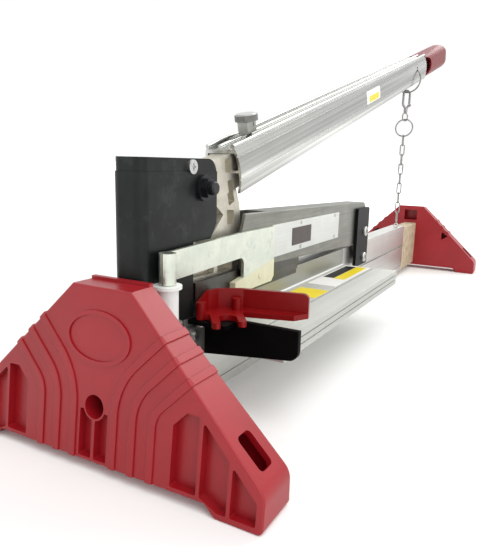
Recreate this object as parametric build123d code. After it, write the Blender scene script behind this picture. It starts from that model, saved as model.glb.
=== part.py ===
"""Laminate flooring cutter: two moulded feet, an aluminium beam, a hinged blade arm and a lever handle.

Millimetres, +Z up, X across the beam, Y along it from the lever end to the hinge end.
The pieces are drawn with Y = 0 at the lever end and moved to the centre of the base when they are written.
"""

from build123d import *
from math import atan2, cos, degrees, radians, sin, sqrt
import os

# Overall
length = 984.0
clearance = 0.3
run_gap = 0.05

# Moulded feet
foot_width = 270.0
foot_top_width = 53.0
foot_height = 130.0
foot_end_height = 24.4
foot_depth = 38.0
foot_lean = 15.0
foot_wall = 4.5
foot_front_wall = 8.5
foot_end_radius = 14.0
foot_rim = 2.2
foot_rim_thick = 4.0
foot_edge = 1.5
foot_base_radius = 4.0
arch_height = 8.0
arch_half_width = 94.0
arch_slope = 9.0
pad_width = 27.0
pad_length = 28.0
pad_thick = 3.0
pad_seat = 0.5
ridge_count = 3
ridge_pitch = 16.0
ridge_width = 5.8
ridge_rise = 1.3
ridge_round = 0.6
ridge_start = 21.5
ridge_bend_radius = 50.0
ridge_bend_height = 45.0
oval_half_width = 29.0
oval_half_height = 19.0
oval_centre = 96.0
oval_band = 3.0
oval_rise = 1.2
pocket_depth = 6.5
pocket_rib = 2.6
pocket_sill = 1.8
pocket_corner = 1.2
pocket_border = 5.0
bolt_pocket_width = 11.4
bolt_pocket_top = 44.0
end_pocket_width = 20.0
end_pocket_start = 67.0
slope_slot_length = 25.5
slope_slot_width = 15.0
slope_slot_corner = 3.5
slope_slot_from_end = 24.0
lift_hole_width = 26.0
lift_hole_height = 21.0
lift_hole_centre = 113.5
vent_inner = 66.0
vent_outer = 79.0
vent_low = 65.0
vent_high = 82.0
foot_bolt_height = 47.0
foot_bolt_radius = 4.0
foot_bolt_head_radius = 7.6
foot_bolt_head_length = 14.0
foot_bolt_well_radius = 8.5
foot_bolt_thread = 45.0

# Beam
beam_half = 12.0
beam_bottom = 12.0
beam_top = 100.0
beam_wall = 3.0
beam_port_wall = 6.0
beam_end = 840.0
groove_low = 60.0
groove_height = 4.0
groove_depth = 3.5
groove_tongue = 3.0
trim_groove = 21.0
trim_groove_width = 2.0
trim_groove_depth = 1.2
shear_width = 6.0
shear_height = 8.0
shear_corner = 3.0

# Side table
table_width = 76.0
table_top = 77.0
table_height = 18.0
table_start = 125.0
table_end = 481.0
table_wall = 2.5
table_lip = 1.2
table_groove_at = 44.0

# Fence and its bracket
bracket_thick = 5.0
bracket_reach = 102.0
bracket_top = 88.5
bracket_root_low = 54.5
bracket_tip_low = 64.5
bracket_flange = 3.5
bracket_flange_near = 101.0
bracket_flange_reach = 48.0
bracket_root_depth = 27.0
bracket_root_top = 81.5
bracket_root_thick = 4.0
bracket_corner = 8.0
fence_pivot_x = 20.5
fence_pivot_y = 107.5
fence_screw_radius = 2.0
fence_boss_radius = 4.0
fence_boss_top = 103.0
fence_base = 4.5
fence_wall = 4.0
fence_corner = 5.0
fence_left = 15.4
fence_shoulder = 101.0
fence_top = 109.5
fence_front = ((18.4, 122.2), (21.7, 132.4), (39.3, 144.3), (94.2, 157.1))
fence_back = ((15.4, 123.0), (18.3, 134.6), (37.8, 148.3), (93.3, 161.3))
fence_base_tip = (87.0, 144.0)
fence_base_root = (46.5, 131.5)
fence_second_boss = (38.0, 136.0)
fork_place = (40.0, 116.0)
fork_angle = -53.0
fork_half_gap = 7.2
fork_prong = 6.6
fork_lengths = (24.5, 20.8)
fork_back = 10.0

# Lever housing
housing_wall = 2.0
housing_front = 42.0
housing_front_wall = 5.0
housing_top = 217.5
housing_skirt = 82.0
housing_rear = 140.0
housing_shelf = 152.0
housing_neck = 105.5
housing_foot = 92.0
housing_step = 90.5
housing_roof_end = 88.0
housing_corner = 12.0
housing_fold = 8.0
housing_band = 207.5
housing_inset = 0.8
housing_bolt_radius = 3.0
housing_bolt_y = 70.0
housing_bolt_low = 91.0
cover_screw_y = 103.0
cover_screw_z = 211.0
cover_screw_radius = 2.5
cover_screw_head = 5.6
cross_width = 1.3

# Lever
pivot_y = 118.7
pivot_z = 194.5
pivot_radius = 6.0
pivot_head_radius = 8.6
pivot_head_length = 5.0
pivot_stub = 5.0
pivot_collar_radius = 10.5
pivot_collar = 3.0
pivot_nut_length = 7.0
bush_wall = 2.0
hub_radius = 17.5
hub_half = 10.0
foot_half = 8.3
handle_rise = 15.2
tongue_end = 262.0
tongue_top = 13.6
tongue_bottom = -18.0
cast_recess = 6.5
lever_open = 60.0

# Handle
handle_start = 55.0
handle_end = 800.0
handle_half = 18.5
handle_shoulder = 15.0
handle_top = 22.0
handle_bottom = -22.0
handle_deck = 17.5
handle_deck_wall = 3.5
handle_wall = 2.5
handle_ridge = 2.2
handle_bulb = 1.9
handle_grooves = (11.0, -9.5)
handle_groove_depth = 1.0
handle_groove_width = 1.6
handle_ridge_spread = 13.0
handle_rib = 2.4
handle_slide = 120.0
clamp_at = 107.0
clamp_block = 18.0
clamp_block_width = 11.0
clamp_block_height = 10.5
clamp_sink = 0.5
clamp_window = 4.0
knob_radius = 11.0
knob_height = 6.8
knob_crown = 1.0
knob_stud_radius = 4.0
knob_stud_depth = 6.6
knob_flutes = 36
knob_flute_radius = 0.6
grip_length = 192.0
grip_half_width = 18.5
grip_half_height = 24.0
grip_corner = 16.0
grip_near_high = 18.5
grip_near_low = -21.0
grip_gap = 1.0
grip_scoop = 43.0
grip_scoop_half = 17.0
grip_shell = 3.0
grip_mouth = 60.0
grip_neck = 5.0
grip_rib_count = 6
grip_rib_depth = 5.0
grip_plug = 60.0
grip_rivet_back = 9.0
grip_rivet_up = 3.0

# Blade arm
hinge_y = 541.0
hinge_z = 119.4
hinge_ratio = 0.06
hinge_pin_radius = 5.0
hinge_bush_wall = 3.0
plate_thick = 4.5
plate_gap = 6.0
plate_length = 53.0
plate_low = 70.0
plate_high = 154.0
plate_corner = 4.0
plate_bolt_z = 81.0
plate_bolt_radius = 4.0
hinge_head_radius = 7.0
hinge_head_length = 4.0
hinge_nut_length = 6.5
hinge_spacer_wall = 4.0
blade_gap = 0.1
blade_thick = 2.5
blade_low = 97.0
blade_near = 108.0
blade_far = 318.0
blade_back = 140.0
blade_nose = 118.0
blade_bevel = 8.0
blade_edge = 0.6
holder_wall = 3.0
holder_near = 180.0
holder_far = 562.0
holder_top_near = 169.5
holder_top_far = 161.0
holder_low_near = 118.0
holder_low_mid = 106.5
holder_low_far = 102.6
holder_mid_y = 426.0
holder_far_y = 510.0
holder_roof_near = 232.0
holder_edge = 2.0
arm_thick = 3.0
arm_top = 153.3
arm_nose_top = 150.0
arm_nose_low = 128.0
arm_far = 240.0
arm_leg_near = 178.0
arm_leg_low = 111.0
arm_leg_high = 120.5
arm_web_low = 130.5
arm_corner = 7.0
eye_outer = 6.35
eye_y = 58.0
eye_low = 127.3
eye_high = 150.5
eye_slit = 1.2
post_radius = 4.0
post_low = 82.0
sleeve_radius = 8.4
sleeve_bore = 5.2
sleeve_shift = 0.65
sleeve_flange_radius = 11.0
sleeve_flange = 2.5
sleeve_top = 127.0
sleeve_low = 79.0
clamp_wall = 3.0
clamp_low = 83.0
clamp_high = 99.0
clamp_ear = 12.0
clamp_screw_radius = 2.0
label_thick = 0.8
label_far = 437.0
label_low = 120.8
label_high = 154.0
label_rivet_rows = (313.0, 422.0)
label_rivet_levels = (124.0, 151.0)
rivet_radius = 2.2
rivet_head = 0.7
block_near = 163.0
block_low = 98.0
block_thick = 6.0
block_screw_y = 211.0
block_screw_z = 108.0
drive_y = 152.0
drive_z = 141.0
drive_radius = 4.0
drive_play = 0.35
ear_radius = 8.5
blade_screw_radius = 2.5
blade_screw_spots = ((215.0, 126.0), (275.0, 128.0), (302.0, 135.0))

# Chain
ring_at = 725.5
ring_hole = 3.5
ring_hole_radius = 4.0
ring_radius = 24.0
ring_wire = 1.2
ring_centre_x = 0.0
hook_wire = 2.0
hook_length = 40.0
hook_half = 6.6
hook_turn = -45.0
gate_eye = 2.5
gate_half = 0.8
gate_pin = 0.7
swivel_radius = 3.4
swivel_length = 7.0
swivel_link_length = 12.0
swivel_link_half = 4.8
swivel_turn = 40.0
swivel_wire = 1.1
swivel_stem_radius = 1.5
chain_ring_radius = 15.5
chain_ring_wire = 1.2
link_wire = 1.0
link_half = 3.6
link_count = 9
chain_slack = 0.2
chain_foot_x = 8.0
chain_foot_y = 790.0
eye_ring_radius = 3.5
eye_wire = 1.2

parts = {}


def outline(points, radius=0.0):
    face = Polygon(*points, align=None)
    if radius:
        face = fillet(face.vertices(), radius)
    return face


def side(face, low, high):
    """A YZ outline given thickness along X."""
    plane = Plane(origin=(low, 0, 0), x_dir=(0, 1, 0), z_dir=(1, 0, 0))
    return extrude(plane * face, high - low, dir=plane.z_dir)


def across(face, low, high):
    """An XZ outline given thickness along Y."""
    plane = Plane(origin=(0, high, 0), x_dir=(1, 0, 0), z_dir=(0, -1, 0))
    return extrude(plane * face, high - low, dir=plane.z_dir)


def plan(face, low, high):
    """An XY outline given thickness along Z."""
    return extrude(Pos(0, 0, low) * face, high - low, dir=(0, 0, 1))


def rod_x(y, z, radius, low, high):
    return side(Pos(y, z) * Circle(radius), low, high)


def rod_y(x, z, radius, low, high):
    return across(Pos(x, z) * Circle(radius), low, high)


def rod_z(x, y, radius, low, high):
    return plan(Pos(x, y) * Circle(radius), low, high)


def block(x_low, x_high, y_low, y_high, z_low, z_high):
    return plan(outline([(x_low, y_low), (x_high, y_low), (x_high, y_high), (x_low, y_high)]), z_low, z_high)


def hex_x(y, z, radius, low, high):
    return side(Pos(y, z) * RegularPolygon(radius, 6), low, high)


# Feet

foot_slope = (foot_height - foot_end_height) / (foot_width / 2 - foot_top_width / 2)
foot_slope_angle = degrees(atan2(foot_slope, 1))


def slope_z(x):
    return foot_height - (abs(x) - foot_top_width / 2) * foot_slope


def foot_outline(inset=0.0, low=0.0):
    half = foot_width / 2 - inset
    top = foot_height - inset
    shift = inset * (1 / cos(radians(foot_slope_angle)) - 1) / foot_slope
    top_half = foot_top_width / 2 - shift
    end = top - (half - top_half) * foot_slope
    return outline([(-half, low), (-half, end), (-top_half, top), (top_half, top), (half, end), (half, low)])


def lean_wedge(offset):
    """The space in front of the foot's leaning outer face, moved inwards by offset."""
    step = foot_lean / foot_height
    reach = 20.0
    points = [
        (-2 * reach, -reach),
        (offset - step * reach, -reach),
        (offset + step * (foot_height + reach), foot_height + reach),
        (-2 * reach, foot_height + reach),
    ]
    return side(outline(points), -foot_width, foot_width)


def ridge_band(index):
    """One rib: up from the base, bent through 45 degrees and on over the slope."""
    centre_x = ridge_start + ridge_bend_radius
    run = foot_width / 4
    far = ridge_bend_radius - ridge_pitch * index
    near = far + ridge_width
    half_turn = radians(180 - 22.5)
    full_turn = radians(135)

    def at(radius, angle, extra=0.0):
        return (
            centre_x + radius * cos(angle) + extra * cos(radians(45)),
            ridge_bend_height + radius * sin(angle) + extra * sin(radians(45)),
        )

    edges = [
        Line((centre_x - near, arch_height), (centre_x - near, ridge_bend_height)),
        ThreePointArc((centre_x - near, ridge_bend_height), at(near, half_turn), at(near, full_turn)),
        Line(at(near, full_turn), at(near, full_turn, run)),
        Line(at(near, full_turn, run), at(far, full_turn, run)),
        Line(at(far, full_turn, run), at(far, full_turn)),
        ThreePointArc(at(far, full_turn), at(far, half_turn), (centre_x - far, ridge_bend_height)),
        Line((centre_x - far, ridge_bend_height), (centre_x - far, arch_height)),
        Line((centre_x - far, arch_height), (centre_x - near, arch_height)),
    ]
    return make_face(edges)


def round_front(body, radius):
    """The body with the edges round its leaning face rounded, all but the one along the base."""
    front = body.faces().sort_by(Axis.Y)[0]
    return fillet([e for e in front.edges() if e.center().Z > 1], radius)


def make_foot():
    face_plane = Plane(origin=(0, 0, 0), x_dir=(1, 0, 0), z_dir=(0, -foot_height, foot_lean))
    profile = foot_outline()
    corners = [v for v in profile.vertices() if abs(v.Y - foot_end_height) < 0.01]
    profile = fillet(corners, foot_end_radius)
    corners = [v for v in profile.vertices() if v.Y < 0.01]
    profile = fillet(corners, foot_base_radius)
    body = round_front(across(profile, 0, foot_depth) - lean_wedge(0), foot_edge)

    # Rim along the top of the inner wall
    half = foot_top_width / 2
    rim_low = foot_height - foot_rim
    body += block(-half, half, foot_depth - foot_rim_thick, foot_depth, rim_low, foot_height + foot_rim)

    # Ribs up the leaning face and across the slopes
    raised = across(foot_outline(-ridge_rise), -foot_wall, foot_depth) - lean_wedge(-ridge_rise)
    raised = round_front(raised, foot_edge + ridge_rise)
    for index in range(ridge_count):
        rib = across(ridge_band(index), -foot_wall, foot_depth) & raised
        uprights = [e for e in rib.edges() if e.length > ridge_pitch and e.center().Z < ridge_bend_height]
        rib = fillet(ShapeList(uprights).sort_by(Axis.Y)[:2], ridge_round)
        body += rib
        body += mirror(rib, about=Plane.YZ)

    # Bare oval ring on the leaning face
    oval = Ellipse(oval_half_width, oval_half_height) - Ellipse(
        oval_half_width - oval_band, oval_half_height - oval_band
    )
    body += extrude(face_plane * (Pos(0, oval_centre) * oval), oval_rise)

    # Hollow inside, closed by the inner wall, with a boss round the bolt
    floor = arch_height + foot_wall
    cavity = across(foot_outline(foot_wall, floor), foot_wall, foot_depth - foot_wall)
    cavity -= lean_wedge(foot_front_wall)
    cavity -= rod_y(0, foot_bolt_height, foot_bolt_well_radius + foot_wall, -1, foot_depth + 1)
    body -= cavity

    # Arch between the two standing ends
    arch = [
        (-arch_half_width - arch_slope, -1),
        (-arch_half_width - arch_slope, 0),
        (-arch_half_width, arch_height),
        (arch_half_width, arch_height),
        (arch_half_width + arch_slope, 0),
        (arch_half_width + arch_slope, -1),
    ]
    body -= across(outline(arch), -foot_depth, 2 * foot_depth)

    # Pockets beside the bolt and in the ends
    pocket_low = arch_height + pocket_rib
    base_low = pocket_rib + pocket_sill
    sill = arch_height + pocket_sill
    well = []
    inner = pocket_rib / 2
    outer = inner + bolt_pocket_width
    well.append([(inner, sill), (outer, sill), (outer, bolt_pocket_top), (inner, bolt_pocket_top)])
    start = end_pocket_start
    last = foot_width / 2 - pocket_border
    while start < last - pocket_border:
        stop = min(start + end_pocket_width, last)
        if stop < arch_half_width:
            points = [(start, pocket_low), (stop, pocket_low)]
        elif start < arch_half_width:
            points = [(start, pocket_low), (arch_half_width + arch_slope, base_low), (stop, base_low)]
        else:
            points = [(start, base_low), (stop, base_low)]
        high = slope_z(stop) - 2 * pocket_border
        if start == end_pocket_start:
            points += [(stop, high), ((start + stop) / 2, high), (start, high - end_pocket_width / 2)]
        else:
            points += [(stop, high), (start, slope_z(start) - 2 * pocket_border)]
        well.append(points)
        start = stop + pocket_rib
    front_skin = lean_wedge(pocket_depth)
    for points in well:
        hollow = across(outline(points, pocket_corner), -foot_depth, foot_depth) & front_skin
        keep = rod_y(0, foot_bolt_height, foot_bolt_well_radius + pocket_rib / 2, -foot_depth, foot_depth)
        hollow -= keep
        body -= hollow
        body -= mirror(hollow, about=Plane.YZ)

    # Bolt well and hole
    seat = foot_depth - foot_wall
    body -= rod_y(0, foot_bolt_height, foot_bolt_well_radius, -foot_depth, seat)
    body -= rod_y(0, foot_bolt_height, foot_bolt_radius, 0, foot_depth + 1)

    # Holes in the inner wall
    half = lift_hole_width / 2
    low = lift_hole_centre - lift_hole_height / 2
    body -= block(-half, half, foot_depth - foot_wall - 1, foot_depth + 1, low, low + lift_hole_height)
    vent_tip = (vent_outer, (vent_low + vent_high) / 2)
    vent = outline([(vent_inner, vent_low), vent_tip, (vent_inner, vent_high)], 1.5)
    hole = across(vent, foot_depth - foot_wall - 1, foot_depth + 1)
    body -= hole
    body -= mirror(hole, about=Plane.YZ)

    # Oblong slots in the slopes
    slot_x = foot_width / 2 - slope_slot_from_end * cos(radians(foot_slope_angle))
    slot_y = (foot_depth + foot_lean * slope_z(slot_x) / foot_height) / 2
    slot_plane = Plane(
        origin=(slot_x, slot_y, slope_z(slot_x)),
        x_dir=(1, 0, -foot_slope),
        z_dir=(foot_slope, 0, 1),
    )
    slot_face = RectangleRounded(slope_slot_length, slope_slot_width, slope_slot_corner)
    slot = extrude(slot_plane * slot_face, -2.5 * foot_wall)
    body -= slot
    body -= mirror(slot, about=Plane.YZ)

    # Seats for the rubber pads
    body -= block(-foot_width, foot_width, -foot_depth, 2 * foot_depth, -1, pad_seat)
    for pad in make_pads():
        body -= pad
    return body


def make_pads():
    pads = []
    outer = foot_width / 2 - pocket_border
    middle = foot_depth / 2 + 1
    for sign in (-1, 1):
        face = Pos(sign * (outer - pad_width / 2), middle) * RectangleRounded(pad_width, pad_length, 3)
        pads.append(plan(face, 0, pad_thick))
    return pads


def to_rear(shape):
    """The same piece at the hinge end, turned half round."""
    return Pos(0, length, 0) * Rot(0, 0, 180) * shape


foot = make_foot()
parts["front_foot"] = foot
parts["rear_foot"] = to_rear(foot)
parts["foot_pads"] = Compound(make_pads() + [to_rear(p) for p in make_pads()])

beam_start = foot_depth
block_end = length - foot_depth
bolt_seat = foot_depth - foot_wall
bolt_front = rod_y(0, foot_bolt_height, foot_bolt_head_radius, bolt_seat - foot_bolt_head_length, bolt_seat)
socket = Pos(0, foot_bolt_height) * RegularPolygon(foot_bolt_radius, 6)
bolt_front -= across(socket, 0, bolt_seat - foot_bolt_head_length / 2)
bolt_rear = to_rear(bolt_front)
bolt_front += rod_y(0, foot_bolt_height, foot_bolt_radius, bolt_seat, beam_start + foot_bolt_thread)
bolt_rear += rod_y(0, foot_bolt_height, foot_bolt_radius, beam_end - foot_bolt_thread, length - bolt_seat)
parts["foot_bolts"] = Compound([bolt_front, bolt_rear])

# Beam

blade_left = beam_half + blade_gap
port_low = foot_bolt_height - foot_bolt_radius - beam_port_wall / 2
port_high = foot_bolt_height + foot_bolt_radius + beam_port_wall / 2
groove_high = groove_low + groove_height
inner_half = beam_half - beam_wall
shear_left = beam_half - shear_width
shear_low = beam_top - shear_height


def rect(x_low, x_high, z_low, z_high):
    return outline([(x_low, z_low), (x_high, z_low), (x_high, z_high), (x_low, z_high)])


section = fillet(rect(-beam_half, beam_half, beam_bottom, beam_top).vertices(), 0.8)
section -= rect(-inner_half, inner_half, beam_bottom + beam_wall, port_low)
section -= rect(-inner_half, inner_half, port_high, groove_low - beam_wall)
upper = rect(-inner_half, inner_half, groove_high + beam_wall, beam_top - beam_wall)
upper -= rect(shear_left - shear_corner, inner_half, shear_low - shear_corner, beam_top)
section -= upper
section -= Pos(0, foot_bolt_height) * Circle(foot_bolt_radius)
section -= rect(beam_half - groove_depth, beam_half + 1, groove_low, groove_high)
for edge in (-beam_half, beam_half):
    section -= rect(
        edge - trim_groove_depth,
        edge + trim_groove_depth,
        trim_groove,
        trim_groove + trim_groove_width,
    )
beam = across(section, beam_start, beam_end)
beam -= block(shear_left, beam_half + 1, blade_near, blade_far, shear_low, beam_top + 1)
beam -= rod_x(hinge_y, plate_bolt_z, plate_bolt_radius, -beam_half - 1, beam_half + 1)
beam -= rod_x(housing_bolt_y, housing_bolt_low, housing_bolt_radius, -beam_half - 1, 0)

shear_bar = block(shear_left, beam_half, blade_near, blade_far, shear_low, beam_top)
parts["shear_bar"] = shear_bar

end_block = block(-beam_half, beam_half, beam_end, block_end, beam_bottom, beam_top - beam_wall)
end_block = fillet(end_block.edges().filter_by(Axis.Y), 2.0)
end_block -= rod_y(0, foot_bolt_height, foot_bolt_radius, beam_end - 1, block_end + 1)
parts["beam_end_block"] = end_block

# Side table, hung in the beam's groove

table_left = beam_half
table_right = beam_half + table_width
table_low = table_top - table_height
table_section = rect(table_left, table_right, table_low, table_top)
cell = (table_width - 4 * table_wall) / 3
for index in range(3):
    x = table_left + table_wall + index * (cell + table_wall)
    table_section -= fillet(rect(x, x + cell, table_low + table_wall, table_top - table_wall).vertices(), 1.0)
table_section -= rect(
    table_left + table_groove_at,
    table_left + table_groove_at + 2 * table_lip,
    table_top - table_lip,
    table_top + 1,
)
for level in (table_low + 0.3 * table_height, table_low + 0.65 * table_height):
    table_section -= rect(table_right - table_lip, table_right + 1, level, level + table_lip)
table_section += rect(table_left, table_left + table_lip, table_top, table_top + table_lip)
tongue_low = groove_low + (groove_height - groove_tongue) / 2
tongue_left = table_left - groove_depth + clearance
table_section += rect(tongue_left, table_left, tongue_low, tongue_low + groove_tongue)
parts["side_table"] = across(table_section, table_start, table_end)

# Fence bracket: a tapered black plate off the beam with a ledge for the fence

bracket_far = table_start
bracket_near = table_start - bracket_thick
shape = outline(
    [
        (beam_half, bracket_root_low),
        (bracket_reach, bracket_tip_low),
        (bracket_reach, bracket_top),
        (beam_half, bracket_top),
    ]
)
tip = [v for v in shape.vertices() if v.X > bracket_reach - 1 and v.Y < bracket_top - 1]
shape = fillet(tip, bracket_corner)
bracket = across(shape, bracket_near, bracket_far)
bracket += block(
    beam_half,
    bracket_flange_reach,
    bracket_flange_near,
    bracket_near,
    bracket_top - bracket_flange,
    bracket_top,
)
bracket_foot = block(
    beam_half,
    beam_half + bracket_root_thick,
    bracket_near - bracket_root_depth,
    bracket_near,
    bracket_root_low,
    bracket_root_top,
)
bracket_foot = fillet(bracket_foot.edges().filter_by(Axis.X).sort_by(Axis.Y)[:2], bracket_root_thick)
ledge_low = bracket_top - bracket_flange
bracket -= rod_z(fence_pivot_x, fence_pivot_y, fence_screw_radius, ledge_low - 1, bracket_top + 1)
root_screw_y = bracket_near - bracket_root_depth / 2
root_screws = []
for z in (bracket_root_low + 8, bracket_root_top - 7):
    hole = rod_x(root_screw_y, z, clamp_screw_radius, beam_half - beam_wall, beam_half + bracket_root_thick)
    head = rod_x(
        root_screw_y,
        z,
        2 * clamp_screw_radius,
        beam_half + bracket_root_thick,
        beam_half + bracket_root_thick + clamp_screw_radius,
    )
    bracket_foot -= hole
    beam -= hole
    root_screws.append(hole + head)
parts["fence_bracket"] = bracket
parts["bracket_foot"] = bracket_foot
parts["bracket_screws"] = Compound(root_screws)

# Fence: a red moulding that swivels on the bracket

fence_low = bracket_top + clearance
boss_at = Pos(fence_pivot_x, fence_pivot_y)
fence_floor = outline(
    [
        (fence_left, fence_pivot_y),
        (fence_pivot_x + fence_boss_radius, fence_pivot_y),
        fork_place,
        fence_base_root,
        fence_base_tip,
        fence_front[-1],
        *reversed(fence_back),
    ]
)
fence_floor += boss_at * Circle(fence_boss_radius)
fork = Pos(*fork_place) * Rot(0, 0, fork_angle)
fork_half = fork_half_gap + fork_prong
fork_face = rect(-fork_back, fork_half_gap, -fork_half, fork_half)
fork_face -= Pos(fork_half_gap, 0) * Circle(fork_half_gap)
for sign, reach in zip((-1, 1), fork_lengths):
    low, high = sorted((sign * fork_half_gap, sign * fork_half))
    prong = rect(0, reach, low, high)
    tips = prong.vertices().sort_by(Axis.X)[-2:]
    fork_face += fillet(tips, fork_prong / 2 - 0.1)
fence = plan(fence_floor + fork * fork_face, fence_low, fence_low + fence_base)
fence_rail = outline([*fence_front[1:], *reversed(fence_back[1:])])
fence_rail = plan(fence_rail, fence_low, fence_top)
top_corner = [
    e
    for e in fence_rail.edges()
    if e.center().X > fence_back[-1][0] and e.center().Z > fence_top - 0.1 and e.length < 2 * fence_wall
]
fence += fillet(top_corner, fence_corner)
side_rail = outline(
    [
        (fence_left, fence_pivot_y),
        (fence_left + fence_wall - 1, fence_pivot_y),
        fence_front[0],
        fence_front[1],
        *reversed(fence_back[:2]),
    ]
)
side_rail = plan(side_rail, fence_low, fence_top)
shoulder = [
    (fence_pivot_y - 1, fence_shoulder),
    (fence_front[0][1], fence_top),
    (fence_front[0][1], fence_top + 1),
    (fence_pivot_y - 1, fence_top + 1),
]
fence += side_rail - side(outline(shoulder), 0, bracket_reach)
fence += rod_z(fence_pivot_x, fence_pivot_y, fence_boss_radius, fence_low, fence_boss_top)
fence += rod_z(*fence_second_boss, fence_boss_radius, fence_low, fence_boss_top)
screw_top = fence_boss_top - fence_screw_radius
screw_bore = fence_screw_radius + run_gap
fence -= rod_z(fence_pivot_x, fence_pivot_y, screw_bore, fence_low - 1, screw_top + clearance)
parts["fence"] = fence

screw_head = 2 * fence_screw_radius
fence_screw = rod_z(fence_pivot_x, fence_pivot_y, fence_screw_radius, ledge_low, screw_top)
fence_screw += plan(boss_at * RegularPolygon(screw_head, 6), ledge_low - fence_screw_radius, ledge_low)
parts["fence_screw"] = fence_screw

# Lever housing: a folded black cover that straddles the beam

cheek = outline(
    [
        (housing_front, housing_skirt),
        (housing_foot, housing_skirt),
        (housing_foot, housing_step),
        (housing_neck, housing_step),
        (housing_neck, housing_shelf),
        (housing_rear - 9, housing_shelf),
        (housing_rear, housing_shelf + 12),
        (housing_rear, housing_top),
        (housing_front, housing_top),
    ]
)
crown = [v for v in cheek.vertices() if v.X > housing_rear - 1 and v.Y > housing_top - 1]
cheek = fillet(crown, housing_corner)
housing_half = beam_half + housing_wall
housing = side(cheek, -housing_half, -beam_half) + side(cheek, beam_half, housing_half)
housing += block(
    -housing_half,
    housing_half,
    housing_front,
    housing_front + housing_front_wall,
    beam_top,
    housing_top,
)
housing += block(
    -housing_half, housing_half, housing_front, housing_roof_end, housing_top - housing_wall, housing_top
)
front_edges = [
    e
    for e in housing.edges().filter_by(Axis.Z)
    if abs(e.center().Y - housing_front) < 0.01 and abs(abs(e.center().X) - housing_half) < 0.01
]
housing = fillet(front_edges, housing_fold)

# Band round the top, set back a little
band_half = housing_half - housing_inset
band_front = housing_front + housing_inset
band_end = housing_rear + 1
lid = housing_top + 1
band = block(-band_half, band_half, band_front, band_end, housing_band, lid)
band = fillet(band.edges().filter_by(Axis.Z).group_by(Axis.Y)[0], housing_fold - housing_inset)
skin = block(-housing_half - 1, housing_half + 1, housing_front - 1, band_end, housing_band, lid)
housing -= skin - band
housing -= rod_x(pivot_y, pivot_z, pivot_radius, -housing_half - 1, housing_half + 1)
housing -= rod_x(housing_bolt_y, housing_bolt_low, housing_bolt_radius, -housing_half - 1, 0)
housing -= rod_x(cover_screw_y, cover_screw_z, cover_screw_radius, beam_half - 1, housing_half + 1)
housing -= rod_x(cover_screw_y, cover_screw_z, cover_screw_radius, -housing_half - 1, 1 - beam_half)

# Pivot of the lever

pivot_bolt = rod_x(pivot_y, pivot_z, pivot_radius, -housing_half - pivot_nut_length, housing_half)
pivot_bolt += rod_x(pivot_y, pivot_z, pivot_collar_radius, housing_half, housing_half + pivot_collar)
head_start = housing_half + pivot_collar
pivot_head = hex_x(pivot_y, pivot_z, pivot_head_radius, head_start, head_start + pivot_head_length)
pivot_head &= rod_x(pivot_y, pivot_z, 0.96 * pivot_head_radius, head_start, head_start + pivot_head_length)
stub_end = head_start + pivot_head_length + pivot_stub
pivot_head += rod_x(pivot_y, pivot_z, pivot_radius - 0.5, head_start, stub_end)
stub_rim = pivot_head.edges().filter_by(GeomType.CIRCLE).sort_by(Axis.X)[-1:]
pivot_head = chamfer(stub_rim, 1.2)
parts["pivot_bolt"] = pivot_bolt + pivot_head
pivot_nut = hex_x(pivot_y, pivot_z, 1.7 * pivot_radius, -housing_half - pivot_nut_length, -housing_half)
parts["pivot_nut"] = pivot_nut - rod_x(pivot_y, pivot_z, pivot_radius, -2 * housing_half, 0)
washer_outer = beam_half
washer_inner = hub_half + clearance / 3
washer_face = Circle(hub_radius - 3) - Circle(pivot_radius)
washers = [
    side(Pos(pivot_y, pivot_z) * washer_face, washer_inner, washer_outer),
    side(Pos(pivot_y, pivot_z) * washer_face, -washer_outer, -washer_inner),
]
parts["pivot_washers"] = Compound(washers)

# Screws of the housing: one into the beam's left wall, two cross-head screws at the top

housing_bolt = rod_x(housing_bolt_y, housing_bolt_low, housing_bolt_radius, -housing_half, -beam_half / 2)
housing_bolt += rod_x(
    housing_bolt_y,
    housing_bolt_low,
    2 * housing_bolt_radius,
    -housing_half - housing_bolt_radius,
    -housing_half,
)
parts["housing_bolt"] = housing_bolt
cover_screws = []
for sign in (-1, 1):
    low, high = sorted((sign * beam_half, sign * band_half))
    shank = rod_x(cover_screw_y, cover_screw_z, cover_screw_radius, low, high)
    low, high = sorted((sign * band_half, sign * (band_half + cover_screw_radius)))
    head = rod_x(cover_screw_y, cover_screw_z, cover_screw_head, low, high)
    housing -= rod_x(cover_screw_y, cover_screw_z, cover_screw_head + clearance, low, high)
    face = sign * (band_half + cover_screw_radius)
    for wide, tall in ((cover_screw_head, cross_width), (cross_width, cover_screw_head)):
        bar = Pos(face, cover_screw_y, cover_screw_z) * Box(2 * cross_width, wide, tall)
        head -= bar
    cover_screws.append(shank + head)
parts["housing_screws"] = Compound(cover_screws)

# Blade arm: an inverted channel hinged at the far end

wall_right_in = blade_left + blade_thick
wall_right_out = wall_right_in + holder_wall
wall_left_out = -beam_half + clearance
wall_left_in = wall_left_out + holder_wall


def holder_top(y):
    share = (y - holder_near) / (holder_far - holder_near)
    return holder_top_near + (holder_top_far - holder_top_near) * share


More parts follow.
